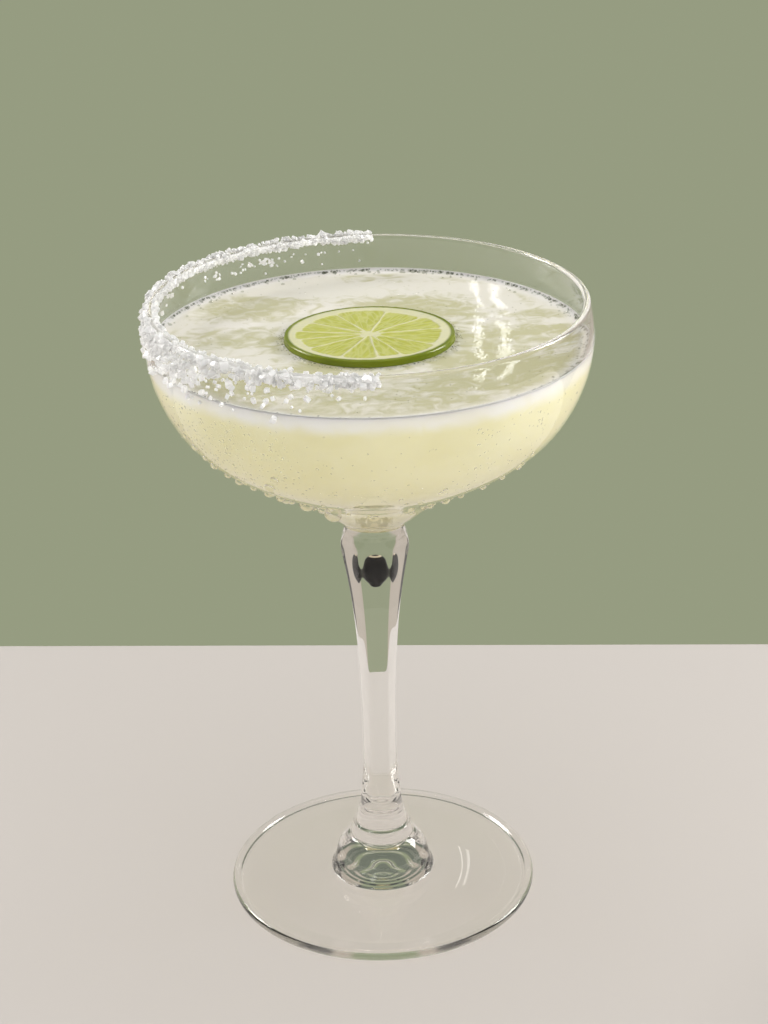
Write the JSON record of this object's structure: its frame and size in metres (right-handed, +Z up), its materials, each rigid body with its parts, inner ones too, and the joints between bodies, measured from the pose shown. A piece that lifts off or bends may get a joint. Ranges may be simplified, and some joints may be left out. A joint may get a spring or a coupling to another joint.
{
  "type": "margarita cocktail",
  "caption": "Margarita in a stemmed coupe glass: pale yellow-green drink with a thin foam layer, a floating lime wheel and salt round half of the lip.",
  "frame": {"origin": "on the table under the centre of the foot", "axes": "+Z up along the glass's axis; -Y faces the drinker; the salt covers the -X half of the lip"},
  "size_m": [0.1023, 0.1027, 0.1549],
  "materials": {
    "clear_glass": "polished",
    "drink": "cloudy liquid",
    "foam": "fine foam",
    "lime": "moist",
    "salt": "coarse crystals"
  },
  "bodies": {
    "root": {"coupe_glass": "clear_glass", "margarita": "drink", "foam_layer": "foam", "lime_wheel": "lime", "salt_rim": "salt"}
  },
  "joints": []
}
